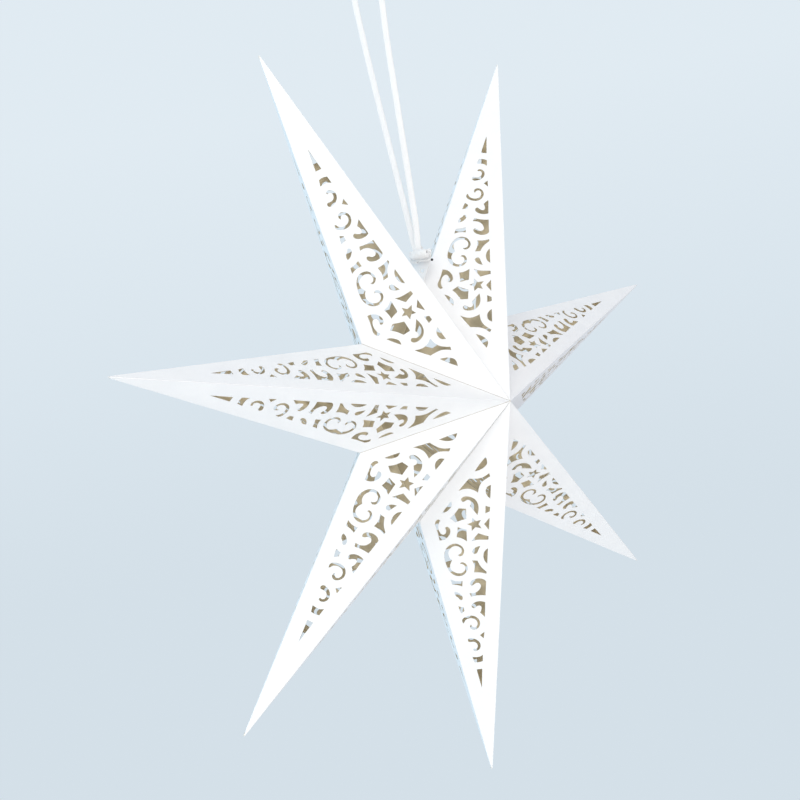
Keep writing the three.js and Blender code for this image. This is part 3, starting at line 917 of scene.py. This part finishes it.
# x, y, z up the rear strand from the knot, over the top and down the front strand
LOOP = [
    (STRAND_X, -4.2, 119.6), (-3.9, -3.3, 122.4), (-3.1, -1.5, 125.4), (-1.3, 1.4, 131),
    (0, 3.9, 141), (0, 9.6, 180), (0, 17.4, 235), (0, 24.6, 290), (0, 28.0, 323),
    (0, 29.0, 350), (0, 26.4, 372), (0, 19.6, 385), (0, 17.0, 387.4),
    (0, 9.0, 387.4), (0, 5.6, 385), (0, 0.6, 374), (0, -1.6, 352), (0, -1.2, 318),
    (0, -0.6, 285), (0, -1.6, 230), (0, -2.6, 180), (0, -2.9, 141), (-1.3, -3.4, 131),
    (-3.1, -4.5, 125.4), (-3.9, -5.9, 122.4), (STRAND_X, -7.0, 119.6),
]
# x, y, z out of the knot, through the eyelet, up behind the right tab and over to the strands
LASHING = [(-3.2, EYE_Y - 0.6, 117.4), (-1.0, EYE_Y, 116.8), (0.9, EYE_Y, 116.75),
           (2.1, EYE_Y, 117.6), (2.5, EYE_Y, 119.6), (2.35, EYE_Y, 122.2),
           (1.5, EYE_Y + 0.2, 124.4), (0.2, EYE_Y + 0.5, 126.4)]
# x, y, z of the two ends; both run towards the front
LONG_TAIL = [(-3.6, -1.2, 115.6), (-4.4, -3.4, 114.5), (-4.9, -6, 113.9), (-5, -10, 113.7),
             (-5, -15, 113.5), (-5, -19.2, 113.35)]
SHORT_TAIL = [(-4.2, 3.2, 115.9), (-4.9, 3.6, 114.4), (-5.05, 1.6, 113.6), (-5, -1.2, 113.2),
              (-5, -3.9, 112.9)]
SEALED_TIP = [(-5, -18.9, 113.36), (-5, -20.3, 113.3)]


def make_loop():
    build = Build()
    braid(build, spline(LOOP, 0.45), wide=(0.72, -0.69, 0), half_wide=2.16, half_thin=0.52,
          yarn_wide=0.62, yarn_thin=0.26, count=6, spacing=1.35, lift=0.14)
    finish_cord(build, "hanging_cord_braid", "hanging_cord")


def make_knot():
    """The braid wound into a barrel about a front-to-back axis, on the -x side of the tabs."""
    radius, half_length, turns, start_angle = 3.15, 8.5, 4.6, 2.2
    backward = np.array([0, 1.0, 0])
    t = np.linspace(-math.radians(80), math.radians(80), 900)
    barrel_y = half_length * np.sign(np.sin(t)) * np.abs(np.sin(t)) ** 0.8
    barrel_r = radius * np.cos(t) ** 0.5
    steps = np.hypot(np.diff(barrel_y), np.diff(barrel_r))
    along = np.concatenate([[0], np.cumsum(steps)])
    even = np.linspace(0, along[-1], 420)
    barrel_y, barrel_r = np.interp(even, along, barrel_y), np.interp(even, along, barrel_r)
    angle = even / along[-1] * turns * 2 * math.pi + start_angle
    spoke = np.stack([np.cos(angle), np.zeros_like(angle), np.sin(angle)], 1)
    centre = (np.array([KNOT_X, KNOT_Y, KNOT_Z]) + barrel_r[:, None] * spoke
              - barrel_y[:, None] * backward)
    slope = unit(np.stack([np.gradient(barrel_r), np.gradient(barrel_y)], 1))
    lie = slope[:, :1] * spoke - slope[:, 1:] * backward
    build = Build()
    braid(build, centre, wide=lie, half_wide=1.85, half_thin=0.46, yarn_wide=0.66,
          yarn_thin=0.26, count=6, spacing=1.25, lift=0.1, phase=0.03)

    # what the turns are wound on, grey as painted shade between the turns
    core_radius, stations = 2.85, 40
    core_y = np.linspace(-7.9, 7.9, stations)
    swell = np.sqrt(np.clip(1 - (np.abs(core_y) / 8.1) ** 4, 0.02, 1))
    core = np.stack([np.full(stations, KNOT_X), KNOT_Y + core_y, np.full(stations, KNOT_Z)], 1)
    tube(build, core, np.tile([1.0, 0, 0], (stations, 1)), np.tile([0, 0, 1.0], (stations, 1)),
         core_radius, core_radius, 24, CORE, core_y, swell=swell)
    finish_cord(build, "cord_knot_braid", "cord_knot")


def make_lashing():
    build = Build()
    braid(build, spline(LASHING, 0.3), wide=(0, 1, 0), half_wide=0.86, half_thin=0.34,
          yarn_wide=0.36, yarn_thin=0.2, count=5, spacing=0.9, lift=0.1)
    finish_cord(build, "cord_lashing_braid", "cord_lashing")


def tail_braid(points, radius):
    build = Build()
    braid(build, spline(points, 0.3), wide=(1, 0, 0), half_wide=radius, half_thin=radius,
          yarn_wide=0.32, yarn_thin=0.2, count=4, spacing=0.95, lift=0.1)
    return build


def make_long_tail():
    build = tail_braid(LONG_TAIL, 0.60)
    path = spline(SEALED_TIP, 0.12)
    wide, thin = path_frame(path, (1, 0, 0))
    share = np.linspace(-0.25, 0.97, len(path)).clip(0)
    swell = np.sqrt(np.clip(1 - share ** 2.5, 0.05, 1))
    tube(build, path, wide, thin, 0.98, 0.98, 16, SEALED, np.linspace(0, 1.4, len(path)),
         swell=swell)
    finish_cord(build, "cord_tail_right_braid", "cord_tail_right", CORD_SLOTS + [cord_tip])


make_loop()
make_knot()
make_lashing()
make_long_tail()
finish_cord(tail_braid(SHORT_TAIL, 0.64), "cord_tail_left_braid", "cord_tail_left")

# ------------------------------------------------------------------ studio, in metres
scene = bpy.context.scene
scene.view_settings.view_transform = "Standard"
scene.view_settings.look = "None"
scene.view_settings.exposure = 0.0
scene.view_settings.gamma = 1.0


def make_world():
    world = bpy.data.worlds.new("studio_world")
    scene.world = world
    nodes = Nodes(world)
    direction = nodes.add("ShaderNodeTexCoord").outputs["Generated"]
    axes = nodes.add("ShaderNodeSeparateXYZ", {"Vector": direction})
    # pale blue from behind (+y) and a little from the left (-x)
    left_share = nodes.math("MULTIPLY_ADD", axes.outputs["X"], -0.22, 0.5)
    back_share = nodes.math("MULTIPLY_ADD", axes.outputs["Y"], 0.45, left_share)
    sky = nodes.ramp(back_share, [(0.15, (0.86, 0.855, 0.85)), (0.45, (0.80, 0.82, 0.84)),
                                  (0.65, (0.66, 0.80, 0.90)), (1.0, (0.60, 0.80, 0.95))])
    background = nodes.add("ShaderNodeBackground")
    # the right (+x) side of the room is dimmer and cooler
    right_share = nodes.math("MULTIPLY_ADD", axes.outputs["X"], 0.5, 0.5)
    room = nodes.ramp(right_share, [(0.45, (1.11, 1.10, 1.09)), (0.95, (0.62, 0.70, 0.84))])
    tint = nodes.add("ShaderNodeVectorMath", {0: sky, 1: room}, operation="MULTIPLY")
    nodes.tree.links.new(tint.outputs[0], background.inputs["Color"])
    nodes.add("ShaderNodeOutputWorld", {"Surface": background.outputs["Background"]})


FLOOR_Z = -1.05
FLAT_R = 2.6                                     # the flat part of the floor
SWEEP_R = 1.6                                    # the curve up from it
DOME_R = FLAT_R + SWEEP_R
DOME_Z = FLOOR_Z + SWEEP_R


def sweep_material():
    material = bpy.data.materials.new("studio_paper_sweep")
    nodes = Nodes(material)
    place = nodes.add("ShaderNodeTexCoord").outputs["Object"]
    axes = nodes.add("ShaderNodeSeparateXYZ", {"Vector": place})
    # painted shade: the sweep's colour darkens towards the floor, so the floor reads shaded
    # against the wall
    height = nodes.math("MULTIPLY_ADD", axes.outputs["Z"], 0.4, 0.42)
    colour = nodes.ramp(height, [(0.0, (0.66, 0.745, 0.81)), (0.22, (0.70, 0.785, 0.85)),
                                 (0.6, (0.75, 0.83, 0.89))])
    glow = nodes.add("ShaderNodeEmission", {"Color": colour})
    nodes.add("ShaderNodeOutputMaterial", {"Surface": glow.outputs["Emission"]})
    return material


def make_floor():
    """Pale floor that sweeps up into a dome; only the camera sees it, so soft light stays even."""
    profile = [(1.2, FLOOR_Z), (FLAT_R, FLOOR_Z)]          # radius, z
    for i in range(1, 13):
        angle = math.radians(90 * i / 12)
        profile.append((FLAT_R + SWEEP_R * math.sin(angle),
                        FLOOR_Z + SWEEP_R * (1 - math.cos(angle))))
    for i in range(1, 10):
        angle = math.radians(90 * i / 10)
        profile.append((DOME_R * math.cos(angle), DOME_Z + DOME_R * math.sin(angle)))
    around = 72
    turns = [2 * math.pi * j / around for j in range(around)]
    verts = [(r * math.cos(turn), r * math.sin(turn), z) for r, z in profile for turn in turns]
    verts += [(0, 0, FLOOR_Z), (0, 0, DOME_Z + DOME_R)]
    bottom, top = len(verts) - 2, len(verts) - 1
    faces = []
    for i in range(len(profile) - 1):
        here, there = i * around, (i + 1) * around
        for j in range(around):
            k = (j + 1) % around
            faces.append((here + j, here + k, there + k, there + j))
    last = (len(profile) - 1) * around
    faces += [(bottom, (j + 1) % around, j) for j in range(around)]
    faces += [(top, last + j, last + (j + 1) % around) for j in range(around)]
    mesh = bpy.data.meshes.new("studio_floor")
    mesh.from_pydata(verts, [], faces)
    mesh.polygons.foreach_set("use_smooth", np.ones(len(mesh.polygons), bool))
    mesh.update()
    floor = bpy.data.objects.new("studio_floor", mesh)
    scene.collection.objects.link(floor)
    mesh.materials.append(sweep_material())
    floor.visible_shadow = False
    floor.visible_diffuse = False
    floor.visible_glossy = False
    floor.visible_transmission = False


LIGHT_TARGET = (0.0, -0.02, -0.39)


def area_light(name, place, size, power, colour):
    """A rectangular light aimed at the star."""
    data = bpy.data.lights.new(name, "AREA")
    data.shape = "RECTANGLE"
    data.size, data.size_y = size
    data.energy = power
    data.color = colour
    light = bpy.data.objects.new(name, data)
    light.location = place
    light.rotation_mode = "QUATERNION"
    aim = Vector(LIGHT_TARGET) - Vector(place)
    light.rotation_quaternion = aim.to_track_quat("-Z", "Y")
    scene.collection.objects.link(light)


def make_camera():
    data = bpy.data.cameras.new("photo_camera")
    data.lens = 56.41
    data.sensor_width = 36.0
    data.clip_start, data.clip_end = 0.01, 50.0
    camera = bpy.data.objects.new("photo_camera", data)
    # columns: the camera's right, up and backward directions, then its place
    camera.matrix_world = Matrix(((0.6968321, 0.1626878, -0.6985397, -0.712876),
                                  (-0.7023174, -0.0428262, -0.7105746, -0.695236),
                                  (-0.1455176, 0.9857477, 0.0844158, -0.294493),
                                  (0, 0, 0, 1)))
    scene.collection.objects.link(camera)
    scene.camera = camera


make_world()
make_floor()
area_light("key_light", place=(-2.1, -1.85, 0.85), size=(1.5, 1.7), power=24.5,
           colour=(1.0, 0.98, 0.955))
area_light("fill_light", place=(-1.55, -2.25, -1.1), size=(1.8, 1.8), power=15.0,
           colour=(1.0, 0.99, 0.98))
area_light("back_light", place=(-1.2, 2.4, 0.5), size=(2.0, 2.0), power=10.0,
           colour=(0.80, 0.92, 1.0))
make_camera()

bpy.context.view_layer.update()
